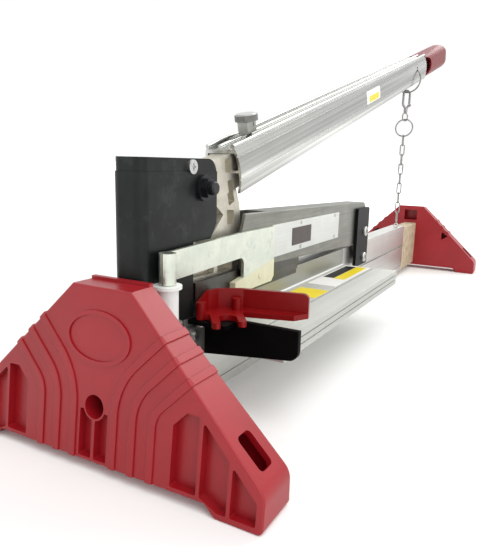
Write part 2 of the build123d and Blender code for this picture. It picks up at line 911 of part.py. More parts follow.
hinge_end = [
    (holder_far_y, holder_low_far),
    (holder_far - 6, holder_low_far),
    (holder_far, holder_low_far + 8),
    (holder_far, holder_top_far - 14),
    (holder_far - 14, holder_top(holder_far - 14)),
]
right_wall = outline(
    [
        (holder_near, holder_low_near),
        (holder_mid_y, holder_low_mid),
        *hinge_end,
        (holder_near + 5, holder_top(holder_near + 5)),
        (holder_near - 2, arm_top),
    ]
)
left_wall = outline(
    [
        (holder_near, holder_low_near),
        (holder_mid_y, holder_low_mid),
        *hinge_end,
        (holder_near + 5, holder_top(holder_near + 5)),
        (holder_near, drive_z + ear_radius),
        (drive_y, drive_z + ear_radius),
        (drive_y, drive_z - ear_radius),
    ]
)
left_wall += Pos(drive_y, drive_z) * Circle(ear_radius)
holder = side(right_wall, wall_right_in, wall_right_out) + side(left_wall, wall_left_out, wall_left_in)
roof = outline(
    [
        (holder_roof_near, holder_top(holder_roof_near) - holder_wall),
        (holder_far - 14, holder_top(holder_far - 14) - holder_wall),
        (holder_far - 14, holder_top(holder_far - 14)),
        (holder_roof_near, holder_top(holder_roof_near)),
    ]
)
holder += side(roof, wall_left_out, wall_right_out)
crest = []
for edge in holder.edges():
    offset = min(abs(edge.center().X - wall_right_out), abs(edge.center().X - wall_left_out))
    if edge.length > holder_far / 2 and edge.center().Z > arm_top and offset < 0.1:
        crest.append(edge)
holder = fillet(crest, holder_edge)
bush_radius = hinge_pin_radius + run_gap + hinge_bush_wall
holder -= rod_x(hinge_y, hinge_z, bush_radius, wall_left_out - 1, wall_right_out + 1)
holder -= rod_x(drive_y, drive_z, drive_radius, wall_left_out - 1, wall_left_in + 1)

plate_left = beam_half + plate_gap
plate_right = plate_left + plate_thick
bush_face = Circle(bush_radius) - Circle(hinge_pin_radius + run_gap)
parts["holder_bush"] = side(
    Pos(hinge_y, hinge_z) * bush_face, -beam_half + clearance, plate_left - clearance
)

# Blade with its bevel on the outer side

blade_shape = outline(
    [
        (blade_near, blade_low),
        (blade_far, blade_low),
        (blade_far, blade_back),
        (holder_near + 8, blade_back),
        (holder_near - 8, blade_nose),
        (blade_near, blade_nose),
    ]
)
blade = side(blade_shape, blade_left, wall_right_in)
bevel = outline(
    [
        (blade_left + blade_edge, blade_low - 1),
        (blade_left + blade_edge, blade_low),
        (wall_right_in, blade_low + blade_bevel),
        (wall_right_in + 1, blade_low + blade_bevel),
        (wall_right_in + 1, blade_low - 1),
    ]
)
blade -= across(bevel, blade_near - 1, blade_far + 1)

blade_screws = []
for y, z in blade_screw_spots:
    hole = rod_x(y, z, blade_screw_radius, blade_left, wall_right_out)
    cone_plane = Plane(origin=(wall_right_out, y, z), x_dir=(0, 1, 0), z_dir=(-1, 0, 0))
    cone_end = cone_plane.offset(blade_screw_radius)
    hole += loft([cone_plane * Circle(2 * blade_screw_radius), cone_end * Circle(blade_screw_radius)])
    blade -= hole
    holder -= hole
    blade_screws.append(hole)
parts["blade"] = blade
parts["blade_screws"] = Compound(blade_screws)

# Guide arm: zinc plate with a rolled eye round the guide post

arm_left = wall_right_out
arm_right = arm_left + arm_thick
eye_x = arm_left + eye_outer
arm_shape = outline(
    [
        (eye_y, arm_nose_low),
        (eye_y + 3 * eye_outer, arm_nose_low),
        (arm_leg_near, arm_web_low),
        (arm_leg_near, arm_leg_low),
        (arm_far, arm_leg_high),
        (arm_far, arm_top),
        (arm_leg_near - 8, arm_top),
        (eye_y + 2 * eye_outer, arm_nose_top),
        (eye_y, arm_nose_top),
    ]
)
corner = [v for v in arm_shape.vertices() if abs(v.X - arm_leg_near) + abs(v.Y - arm_web_low) < 0.01]
arm = side(fillet(corner, arm_corner), arm_left, arm_right)
eye_face = Pos(eye_x, eye_y) * (Circle(eye_outer) - Circle(post_radius))
arm += plan(eye_face, eye_low, eye_high)
arm -= rod_z(eye_x, eye_y, post_radius, eye_low - 1, eye_high + 1)
slit = Pos(eye_x, eye_y - eye_outer) * Rectangle(eye_slit, 2 * eye_outer)
arm -= plan(slit, eye_low - 1, eye_high + 1)
post = rod_z(eye_x, eye_y, post_radius, post_low, eye_high)
post = chamfer(post.edges().filter_by(GeomType.CIRCLE).sort_by(Axis.Z)[:1], 1.0)
parts["guide_arm"] = arm
parts["guide_post"] = post

sleeve_y = eye_y - sleeve_shift
sleeve_ring = Circle(sleeve_radius) - Circle(sleeve_bore)
flange_ring = Circle(sleeve_flange_radius) - Circle(sleeve_bore)
sleeve = plan(Pos(eye_x, sleeve_y) * sleeve_ring, sleeve_low, sleeve_top - sleeve_flange)
flange = plan(Pos(eye_x, sleeve_y) * flange_ring, sleeve_top - sleeve_flange, sleeve_top)
sleeve += flange - block(0, housing_half + run_gap, 0, housing_rear, 0, housing_top)
parts["guide_sleeve"] = sleeve

# Clamp that holds the sleeve against the housing

ear_far = sleeve_y + sleeve_radius + clamp_wall + clamp_ear
clamp = plan(Pos(eye_x, sleeve_y) * Circle(sleeve_radius + clamp_wall), clamp_low, clamp_high)
clamp += block(housing_half, housing_half + clamp_wall, sleeve_y, ear_far, clamp_low, clamp_high)
clamp &= block(housing_half, 4 * housing_half, housing_front, ear_far, clamp_low, clamp_high)
clamp -= rod_z(eye_x, sleeve_y, sleeve_radius, clamp_low - 1, clamp_high + 1)
clamp_screws = []
screw_y = ear_far - clamp_ear / 2
for z in (clamp_low + 4, clamp_high - 4):
    hole = rod_x(screw_y, z, clamp_screw_radius, beam_half - beam_wall, housing_half + clamp_wall)
    clamp -= hole
    housing -= hole
    beam -= hole
    head_low = housing_half + clamp_wall
    head = rod_x(screw_y, z, 1.7 * clamp_screw_radius, head_low, head_low + clamp_screw_radius)
    clamp_screws.append(hole + head)
parts["sleeve_clamp"] = clamp
parts["sleeve_screws"] = Compound(clamp_screws)

# Label plate with four rivets

label = side(
    outline([(arm_far, label_low), (label_far, label_low), (label_far, label_high), (arm_far, label_high)]),
    wall_right_out,
    wall_right_out + label_thick,
)
rivets = []
label_out = wall_right_out + label_thick
for y in label_rivet_rows:
    for z in label_rivet_levels:
        shank = rod_x(y, z, rivet_radius / 2, wall_right_in, label_out)
        label -= shank
        holder -= shank
        rivets.append(shank + rod_x(y, z, rivet_radius, label_out, label_out + rivet_head))
parts["label_plate"] = label
parts["label_rivets"] = Compound(rivets)

# Nylon presser block under the arm's leg

leg_rise = (arm_leg_high - arm_leg_low) / (arm_far - arm_leg_near)
block_far = arm_far + 1
block_nose = arm_leg_low - leg_rise * (arm_leg_near - block_near)
presser_front = outline(
    [
        (block_near, block_low + 2),
        (block_near + 3, block_low),
        (block_far - 5, block_low),
        (block_far, block_low + 5),
        (block_far, arm_leg_high),
        (arm_far, arm_leg_high),
        (arm_leg_near, arm_leg_low),
        (block_near, block_nose),
    ]
)
presser = side(presser_front, arm_left, wall_right_in + block_thick)
back_top = holder_low_near - 4 - holder_wall
presser_back = outline(
    [
        (block_near, block_low + 2),
        (block_near + 3, block_low),
        (block_far - 5, block_low),
        (block_far, block_low + 5),
        (block_far, back_top),
        (arm_leg_near, min(back_top, arm_leg_low)),
        (block_near, block_nose),
    ]
)
presser += side(presser_back, wall_right_in, arm_left)
press_face = wall_right_in + block_thick
press_hole = rod_x(block_screw_y, block_screw_z, clamp_screw_radius, blade_left + blade_edge, press_face)
presser -= press_hole
blade -= press_hole
parts["blade"] = blade
parts["presser_block"] = presser
parts["presser_screw"] = press_hole + rod_x(
    block_screw_y, block_screw_z, 1.7 * clamp_screw_radius, press_face, press_face + rivet_head
)

# Drive pin: carried by the left wall's ear and the guide arm, runs in the lever's cam slot

parts["drive_pin"] = rod_x(drive_y, drive_z, drive_radius, wall_left_out, arm_left)
parts["blade_holder"] = holder

# Hinge plates on both sides of the beam, with through bolts

plate_near = hinge_y - plate_length / 2 - 7
plate_shape = outline(
    [
        (plate_near, plate_low),
        (plate_near + plate_length, plate_low),
        (plate_near + plate_length, plate_high),
        (plate_near, plate_high),
    ],
    plate_corner,
)
plate_shape -= Pos(hinge_y, hinge_z) * Circle(hinge_pin_radius)
plate_shape -= Pos(hinge_y, plate_bolt_z) * Circle(plate_bolt_radius)
left_plate_out = -beam_half - plate_thick
parts["hinge_plate_right"] = side(plate_shape, plate_left, plate_right)
parts["hinge_plate_left"] = side(plate_shape, left_plate_out, -beam_half)


def through_bolt(z, radius):
    bolt = rod_x(hinge_y, z, radius, left_plate_out - hinge_nut_length, plate_right)
    head = rod_x(hinge_y, z, hinge_head_radius, plate_right, plate_right + hinge_head_length)
    rim = head.edges().filter_by(GeomType.CIRCLE).sort_by(Axis.X)[-1:]
    head = fillet(rim, hinge_head_length / 2)
    head -= hex_x(hinge_y, z, hinge_head_radius / 2, plate_right + hinge_head_length / 2, plate_right + 9)
    return bolt + head


def bolt_nut(z, radius):
    face = Pos(hinge_y, z) * (RegularPolygon(1.8 * radius, 6) - Circle(radius))
    return side(face, left_plate_out - hinge_nut_length, left_plate_out)


parts["hinge_bolt"] = through_bolt(hinge_z, hinge_pin_radius)
parts["plate_bolt"] = through_bolt(plate_bolt_z, plate_bolt_radius)
nuts = [bolt_nut(hinge_z, hinge_pin_radius), bolt_nut(plate_bolt_z, plate_bolt_radius)]
parts["hinge_nuts"] = Compound(nuts)
spacer = Circle(plate_bolt_radius + hinge_spacer_wall) - Circle(plate_bolt_radius)
parts["hinge_spacer"] = side(Pos(hinge_y, plate_bolt_z) * spacer, beam_half, plate_left)

# Lever casting

rise = radians(handle_rise)
lever_dir = (0, cos(rise), sin(rise))
lever_side = Plane(origin=(0, pivot_y, pivot_z), x_dir=lever_dir, z_dir=(1, 0, 0))


def lever_slab(face, low, high):
    """An outline in the lever's own frame (along the handle, square to it) given thickness along X."""
    return extrude(lever_side.offset(low) * face, high - low, dir=(1, 0, 0))


def drive_point(share):
    """The drive pin's centre seen from the lever, as it turns through a share of its travel."""
    lift = radians(lever_open * hinge_ratio * share)
    back = radians(lever_open * share)
    dy = drive_y - hinge_y
    dz = drive_z - hinge_z
    y = hinge_y + dy * cos(lift) + dz * sin(lift) - pivot_y
    z = hinge_z - dy * sin(lift) + dz * cos(lift) - pivot_z
    return (pivot_y + y * cos(back) + z * sin(back), pivot_z - y * sin(back) + z * cos(back))


tongue = rect(0, tongue_end, tongue_bottom, tongue_top)
casting = lever_slab(tongue, -hub_half, hub_half)
casting += rod_x(pivot_y, pivot_z, hub_radius, -hub_half, hub_half)
cam_points = [
    (62, 0),
    (70, -17),
    (72, -30),
    (74, -46),
    (72, -68),
    (66, -84),
    (50, -85.5),
    (28, -84),
    (-8, -80),
    (-16, -72),
    (-18, -45),
    (-12, -35),
    (-2, -36.5),
    (10, -42.5),
    (25, -40),
    (41.5, -25),
    (29, -16),
    (10, -8),
]
cam_foot = outline([(pivot_y + y, pivot_z + z) for y, z in cam_points])
casting += side(cam_foot, -foot_half, foot_half)
cam_slot = SlotArc(
    ThreePointArc(drive_point(0), drive_point(0.5), drive_point(1)), 2 * (drive_radius + drive_play)
)
casting -= side(cam_slot, -hub_half, hub_half)
slot_half = knob_stud_radius + clearance
clamp_slot = Pos(clamp_at + handle_slide / 2, 0) * SlotOverall(handle_slide + 2 * slot_half, 2 * slot_half)
slot_deck = Plane(origin=(0, pivot_y, pivot_z), x_dir=lever_dir, z_dir=(0, -sin(rise), cos(rise)))
knob_tip = handle_deck - handle_deck_wall - knob_stud_depth
casting -= extrude(slot_deck.offset(knob_tip - 1) * clamp_slot, handle_top)
bush_outer = pivot_radius + run_gap + bush_wall
casting -= rod_x(pivot_y, pivot_z, bush_outer, -2 * hub_half, 2 * hub_half)

# Cast pockets on both faces
pocket_faces = [
    ([(39, 22), (51, 25), (51.5, 10), (41, 12)], hub_half),
    ([(44.5, 5), (54, 5), (61, -14), (51, -18)], foot_half),
    ([(47, -21), (60, -22), (60, -34), (49, -35)], foot_half),
    ([(-10, -61), (27, -61), (27, -75), (-6, -74)], foot_half),
    ([(33, -62), (58, -61), (58, -76), (33, -76)], foot_half),
]
for points, half in pocket_faces:
    pocket = outline([(pivot_y + y, pivot_z + z) for y, z in points], 1.5)
    casting -= side(pocket, half - cast_recess, 2 * half)
    casting -= side(pocket, -2 * half, cast_recess - half)
parts["lever_casting"] = casting
bush_ring = Circle(bush_outer) - Circle(pivot_radius + run_gap)
parts["pivot_bush"] = side(Pos(pivot_y, pivot_z) * bush_ring, -hub_half, hub_half)

# Handle extrusion: ridged deck, bulged sides, open below

wall_mid = (handle_deck + handle_bottom) / 2


def bulge(inset):
    edges = [
        Line((-handle_shoulder + inset, handle_deck), (handle_shoulder - inset, handle_deck)),
        ThreePointArc(
            (handle_shoulder - inset, handle_deck),
            (handle_half - inset, wall_mid),
            (handle_shoulder - inset, handle_bottom),
        ),
        Line((handle_shoulder - inset, handle_bottom), (-handle_shoulder + inset, handle_bottom)),
        ThreePointArc(
            (-handle_shoulder + inset, handle_bottom),
            (-handle_half + inset, wall_mid),
            (-handle_shoulder + inset, handle_deck),
        ),
    ]
    return make_face(edges)


inner = bulge(handle_wall) & rect(-handle_half, handle_half, handle_bottom, handle_deck - handle_deck_wall)
handle_section = bulge(0) - inner
for x in (-handle_ridge_spread, 0, handle_ridge_spread):
    ridge = rect(x - handle_ridge / 2, x + handle_ridge / 2, handle_deck - 0.5, handle_top - handle_bulb)
    handle_section += ridge + Pos(x, handle_top - handle_bulb) * Circle(handle_bulb)
side_radius = ((handle_deck - wall_mid) ** 2 + (handle_half - handle_shoulder) ** 2) / (
    2 * (handle_half - handle_shoulder)
)
for level in handle_grooves:
    edge = handle_half - side_radius + sqrt(side_radius**2 - (level - wall_mid) ** 2)
    for sign in (-1, 1):
        low, high = sorted((sign * (edge - handle_groove_depth), sign * (edge + 1)))
        handle_section -= rect(low, high, level - handle_groove_width / 2, level + handle_groove_width / 2)
rib_low = wall_mid - handle_rib / 2
for sign in (-1, 1):
    low, high = sorted((sign * (hub_half + clearance), sign * (handle_half - handle_wall / 2)))
    handle_section += rect(low, high, rib_low, rib_low + handle_rib)
start_point = (0, pivot_y + handle_start * cos(rise), pivot_z + handle_start * sin(rise))
handle_plane = Plane(origin=start_point, x_dir=(-1, 0, 0), z_dir=lever_dir)
handle = extrude(handle_plane * handle_section, handle_end - handle_start)
stud_axis = slot_deck * Pos(clamp_at, 0, 0)
stud_plane = Plane(stud_axis)
handle -= extrude(stud_plane.offset(knob_tip) * Circle(knob_stud_radius + run_gap), handle_top)
ring_eye = lever_slab(Pos(ring_at, ring_hole) * Circle(ring_hole_radius), -2 * handle_half, 2 * handle_half)
handle -= ring_eye
# Clamp block and knurled knob on the ridges

clamp_seat = handle_top - clamp_sink
seat = RectangleRounded(clamp_block + 2 * clearance, clamp_block_width + 2 * clearance, 1.0)
handle -= extrude(stud_plane.offset(clamp_seat) * seat, handle_top)
clamp_body = extrude(
    stud_plane.offset(clamp_seat) * RectangleRounded(clamp_block, clamp_block_width, 1.0), clamp_block_height
)
stud_bore = Circle(knob_stud_radius + run_gap)
clamp_body -= extrude(stud_plane.offset(clamp_seat - 1) * stud_bore, 2 * clamp_block_height)
window_up = clamp_seat + clamp_block_height - 0.8 * clamp_window
for side_sign in (-1, 1):
    window = stud_plane.offset(window_up) * Pos(clamp_window / 2, side_sign * clamp_block_width / 2, 0)
    clamp_body -= window * Box(clamp_window, 0.3 * clamp_window, clamp_window)
parts["clamp_block"] = clamp_body
cap_low = clamp_seat + clamp_block_height + clearance
cap_face = Circle(knob_radius)
for index in range(knob_flutes):
    angle = radians(360 * index / knob_flutes)
    cap_face -= Pos(knob_radius * cos(angle), knob_radius * sin(angle)) * RegularPolygon(knob_flute_radius, 4)
knob = extrude(stud_plane.offset(cap_low) * cap_face, knob_height - knob_crown)
crown = stud_plane.offset(cap_low + knob_height - knob_crown)
knob += loft([crown * Circle(knob_radius - 0.8), crown.offset(knob_crown) * Circle(knob_radius - 2.5)])
knob += extrude(stud_plane.offset(knob_tip) * Circle(knob_stud_radius), cap_low - knob_tip)
parts["clamp_knob"] = knob

# Grip: a domed moulding with finger scallops, hollow at its mouth, plugged into the handle's far end

grip_start = handle_end + grip_gap
grip_end = handle_end + grip_length
dome = 0.85 * grip_half_height
edges = [
    Line((grip_start, grip_near_low), (grip_start, grip_near_high)),
    Line((grip_start, grip_near_high), (grip_end - dome, grip_half_height)),
    ThreePointArc(
        (grip_end - dome, grip_half_height),
        (grip_end - 0.2 * dome, 0.62 * grip_half_height),
        (grip_end, 0),
    ),
    ThreePointArc(
        (grip_end, 0),
        (grip_end - 0.2 * dome, -0.68 * grip_half_height),
        (grip_end - 0.8 * dome, -grip_half_height),
    ),
]
position = grip_end - 0.8 * dome
bottom = -grip_half_height
scallop = (position - grip_start - grip_scoop) / grip_rib_count
for index in range(grip_rib_count):
    flat = 0.25 * scallop
    following = position - scallop
    edges.append(Line((position, bottom), (position - flat, bottom)))
    edges.append(
        ThreePointArc(
            (position - flat, bottom),
            ((position - flat + following) / 2, bottom + grip_rib_depth),
            (following, bottom),
        )
    )
    position = following
edges.append(Line((position, bottom), (grip_start, grip_near_low)))
mouth_middle = (grip_near_high + grip_near_low) / 2
grip_side = make_face(edges) - Pos(grip_start, mouth_middle) * Ellipse(grip_scoop, grip_scoop_half)
silhouette = lever_slab(grip_side, -grip_half_width, grip_half_width)
far_point = (0, pivot_y + handle_end * cos(rise), pivot_z + handle_end * sin(rise))
far_plane = Plane(origin=far_point, x_dir=(-1, 0, 0), z_dir=lever_dir)
grip_face = RectangleRounded(2 * grip_half_width, 2 * grip_half_height, grip_corner)
grip = extrude(far_plane.offset(grip_gap) * grip_face, grip_length - grip_gap) & silhouette
mouth = RectangleRounded(
    2 * (grip_half_width - grip_shell),
    grip_near_high - grip_near_low - 2 * grip_shell,
    grip_corner - grip_shell,
)
grip -= extrude(far_plane.offset(grip_gap) * (Pos(0, mouth_middle) * mouth), grip_mouth)
plug = rect(-hub_half, hub_half, tongue_bottom, handle_deck - handle_deck_wall - clearance)
grip += extrude(far_plane.offset(-grip_plug) * plug, grip_plug - grip_shell, dir=lever_dir)
neck = rect(-grip_neck, grip_neck, -2 * grip_neck, grip_neck)
neck_length = 2 * grip_shell + grip_gap + grip_mouth + 1
grip += extrude(far_plane.offset(-2 * grip_shell) * neck, neck_length, dir=lever_dir)
grip_rivets = []
spot = Pos(handle_end - grip_rivet_back, grip_rivet_up)
for sign in (-1, 1):
    low, high = sorted((sign * 0.6 * hub_half, sign * handle_half))
    shank = lever_slab(spot * Circle(rivet_radius / 2), low, high)
    low, high = sorted((sign * (handle_half - 2), sign * handle_half))
    head = lever_slab(spot * Circle(1.3 * rivet_radius), low, high) - handle
    grip -= shank
    handle -= shank
    grip_rivets.append(shank + head)
parts["grip_rivets"] = Compound(grip_rivets)
parts["handle_extrusion"] = handle
parts["end_grip"] = grip

parts["lever_housing"] = housing

# Chain that holds the handle down for carrying


def ring_body(radius, wire):
    return Torus(radius, wire)


def link_body(inner_length, half_width, wire):
    """One oval link standing in its XZ plane, centred on the origin."""
    straight = (inner_length - 2 * (half_width - wire)) / 2
    mid = half_width
    path = Wire(
        [
            Line((mid, 0, -straight), (mid, 0, straight)),
            ThreePointArc((mid, 0, straight), (0, 0, straight + mid), (-mid, 0, straight)),
            Line((-mid, 0, straight), (-mid, 0, -straight)),
            ThreePointArc((-mid, 0, -straight), (0, 0, -straight - mid), (mid, 0, -straight)),
        ]
    )
    section_plane = Plane(origin=(mid, 0, -straight), z_dir=(0, 0, 1))
    return sweep(section_plane * Circle(wire), path)


ring_drop = sqrt(ring_radius**2 - (handle_half - handle_wall / 2 - ring_centre_x) ** 2)
ring_w = ring_hole - ring_drop
ring_low = ring_w - ring_radius


def lever_point(along, up):
    return (pivot_y + along * cos(rise) - up * sin(rise), pivot_z + along * sin(rise) + up * cos(rise))


ring_y, ring_z = lever_point(ring_at, ring_w)
ring_plane = Plane(origin=(ring_centre_x, ring_y, ring_z), x_dir=(1, 0, 0), z_dir=lever_dir)
parts["split_ring"] = ring_plane * ring_body(ring_radius, ring_wire)

hang_y, hang_z = lever_point(ring_at, ring_low)
chain_top = Vector(ring_centre_x, hang_y, hang_z)
eye_top = beam_top + 2 * eye_ring_radius + 2 * eye_wire
chain_foot = Vector(chain_foot_x, chain_foot_y, eye_top + 4 * clearance)
chain_run = (chain_top - chain_foot).length
chain_dir = (chain_top - chain_foot).normalized()
chain_plane = Plane(origin=chain_top, x_dir=(1, 0, 0), z_dir=chain_dir)


def on_chain(drop, turn_angle=0.0):
    """Place on the chain's line, a distance below the split ring."""
    return Location(chain_plane) * Pos(0, 0, -drop) * Rot(0, 0, turn_angle)


# Snap hook: a bow round the ring, a gap on one side and a forked stub for the sprung gate
bow_top = ring_wire + hook_wire + chain_slack
stub_z = -(hook_length - hook_half - swivel_length)
foot_z = swivel_length - hook_length
root_z = foot_z - swivel_length / 8
gate_tip = -2 * hook_half
fork_width = 2.6 * hook_wire


def wire_run(edges, start, heading, radius):
    section_plane = Plane(origin=start, x_dir=(1, 0, 0), z_dir=heading)
    return sweep(section_plane * Circle(radius), Wire(edges))


back_leg = FilletPolyline(
    (0, 0, root_z), (0, -hook_half, stub_z), (0, -hook_half, -hook_half), radius=2 * hook_wire
)
hook = wire_run(
    [
        *back_leg.edges(),
        ThreePointArc((0, -hook_half, -hook_half), (0, 0, 0), (0, hook_half, -hook_half)),
        Line((0, hook_half, -hook_half), (0, hook_half, gate_tip)),
    ],
    (0, 0, root_z),
    (0, -hook_half, stub_z - root_z),
    hook_wire,
)
front_leg = Line((0, 0, root_z), (0, hook_half, stub_z))
hook += wire_run([front_leg], (0, 0, root_z), (0, hook_half, stub_z - root_z), hook_wire)
hook += Pos(0, 0, foot_z - swivel_length / 2) * Cylinder(swivel_radius, swivel_length)
hook += Pos(0, hook_half, stub_z) * Rot(0, 90, 0) * Cylinder(gate_eye, fork_width)
hook -= Pos(0, 0, -hook_length) * Cylinder(swivel_stem_radius + run_gap, swivel_length + 2)
fork_space = Box(2 * gate_half + 2 * clearance, 2.2 * gate_eye, 2.2 * gate_eye)
hook -= Pos(0, hook_half, stub_z) * fork_space
hook += Pos(0, hook_half, stub_z) * Rot(0, 90, 0) * Cylinder(gate_pin, fork_width)
hook_at = on_chain(-bow_top, hook_turn)
parts["snap_hook"] = hook_at * hook
gate_length = gate_tip - clearance - stub_z
gate = Pos(0, hook_half, stub_z) * Rot(0, 90, 0) * Cylinder(gate_eye - clearance, 2 * gate_half)
gate += Pos(0, hook_half, stub_z + gate_eye) * Cylinder(
    gate_half, gate_length - gate_eye, align=(Align.CENTER, Align.CENTER, Align.MIN)
)
gate += Pos(0, hook_half, stub_z + gate_eye + 1) * Cylinder(
    hook_wire, gate_length - gate_eye - 1, align=(Align.CENTER, Align.CENTER, Align.MIN)
)
gate += Pos(0, hook_half, stub_z + gate_eye / 2) * Box(2 * gate_half, gate_half, gate_eye + 1)
gate -= Pos(0, hook_half, stub_z) * Rot(0, 90, 0) * Cylinder(gate_pin + run_gap, 4 * hook_wire)
parts["hook_gate"] = hook_at * gate
gate_plane = Plane(hook_at * Pos(0, hook_half, stub_z))
print("gate", *gate_plane.origin, *gate_plane.x_dir)

# Swivel link, large ring and plain links, each hanging in the one above
drop = hook_length - bow_top
swivel_link = link_body(swivel_link_length, swivel_link_half, swivel_wire)
swivel_drop = drop + swivel_link_length / 2 + 2 * swivel_wire + chain_slack
swivel_stem = Pos(0, 0, swivel_link_length / 2 + swivel_wire + swivel_length / 4)
swivel_link += swivel_stem * Cylinder(swivel_stem_radius, swivel_length / 2)
parts["swivel_link"] = on_chain(swivel_drop, swivel_turn) * swivel_link
ring_drop_at = swivel_drop + swivel_link_length / 2 - chain_ring_wire - chain_slack + chain_ring_radius
parts["chain_ring"] = on_chain(ring_drop_at) * (Rot(90, 0, 0) * ring_body(chain_ring_radius, chain_ring_wire))
links_from = ring_drop_at + chain_ring_radius - chain_ring_wire - chain_slack
link_inner = (chain_run - links_from - link_wire + (link_count - 1) * chain_slack) / link_count
first = links_from + link_inner / 2
links = []
for index in range(link_count):
    centre = first + index * (link_inner - chain_slack)
    turned = 90 if index % 2 == 0 else 0
    links.append(on_chain(centre, turned) * link_body(link_inner, link_half, link_wire))
parts["chain_links"] = Compound(links)
last_drop = first + (link_count - 1) * (link_inner - chain_slack) + link_inner / 2 + link_wire
print("chain run", round(chain_run, 1), "used", round(last_drop, 1))

# Screw eye on the beam
eye_z = beam_top + eye_wire + eye_ring_radius
screw_eye = Pos(chain_foot_x, chain_foot_y, eye_z) * Rot(90, 0, 0) * ring_body(eye_ring_radius, eye_wire)
screw_eye += rod_z(chain_foot_x, chain_foot_y, eye_wire, beam_top - beam_wall, beam_top + eye_wire)
parts["chain_eye"] = screw_eye
beam -= rod_z(chain_foot_x, chain_foot_y, eye_wire, beam_top - 2 * beam_wall, beam_top + 1)
parts["main_beam"] = beam

# Write every piece with the origin at the centre of the base

whole = Compound(list(parts.values())).bounding_box()
middle = (whole.min.Y + whole.max.Y) / 2
print("box", whole.min, whole.max)
print("middle", middle)
os.makedirs("parts", exist_ok=True)
for name, shape in parts.items():
    export_step(Pos(0, -middle, 0) * shape, f"parts/{name}.step")
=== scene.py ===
import math
import bpy
from mathutils import Matrix, Vector


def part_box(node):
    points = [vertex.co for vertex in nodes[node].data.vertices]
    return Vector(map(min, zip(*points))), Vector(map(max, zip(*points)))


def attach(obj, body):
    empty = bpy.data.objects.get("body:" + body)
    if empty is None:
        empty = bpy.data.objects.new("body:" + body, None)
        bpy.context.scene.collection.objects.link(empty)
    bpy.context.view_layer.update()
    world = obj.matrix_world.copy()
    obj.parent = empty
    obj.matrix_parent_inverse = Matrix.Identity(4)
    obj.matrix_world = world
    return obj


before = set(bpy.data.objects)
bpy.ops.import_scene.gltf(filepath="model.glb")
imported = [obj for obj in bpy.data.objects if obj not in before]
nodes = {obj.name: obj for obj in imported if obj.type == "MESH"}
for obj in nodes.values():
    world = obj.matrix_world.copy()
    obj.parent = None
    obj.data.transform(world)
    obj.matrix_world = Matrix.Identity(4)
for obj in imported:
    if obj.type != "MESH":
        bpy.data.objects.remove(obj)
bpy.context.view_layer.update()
print("frame loaded", len(nodes), "nodes")

mm = 0.001
lengthMiddle = 538.779  # the drawing's Y at the frame's origin, mm


def place(x, y, z):
    # millimetres along the tool, measured from the lever end, to metres in the frame
    return Vector((x * mm, (y - lengthMiddle) * mm, z * mm))


def linear(hexColour):
    channels = [int(hexColour[i:i + 2], 16) / 255 for i in (1, 3, 5)]
    return [c / 12.92 if c <= 0.04045 else ((c + 0.055) / 1.055) ** 2.4 for c in channels] + [1.0]


def addNode(tree, kind, values=None, links=None, **settings):
    node = tree.nodes.new(kind)
    for name, value in settings.items():
        setattr(node, name, value)
    for name, value in (values or {}).items():
        node.inputs[name].default_value = value
    for name, source in (links or {}).items():
        tree.links.new(source, node.inputs[name])
    return node


patterns = {
    # each noise: its octaves and their weight, and the band of its values that is spread out
    "cloud": {"detail": 4.0, "weight": 0.6, "low": 0.35, "high": 0.65},
    "grain": {"detail": 3.0, "weight": 0.55, "low": 0.3, "high": 0.7},
    "scuff": {"detail": 7.0, "weight": 0.72, "low": 0.55, "high": 0.75},
}
crownBand = (0.8, 0.92)  # cosine to the painted highlight's axis where the painted highlight begins, and where it is full
usualBump = 0.4  # where a finish gives none of its own


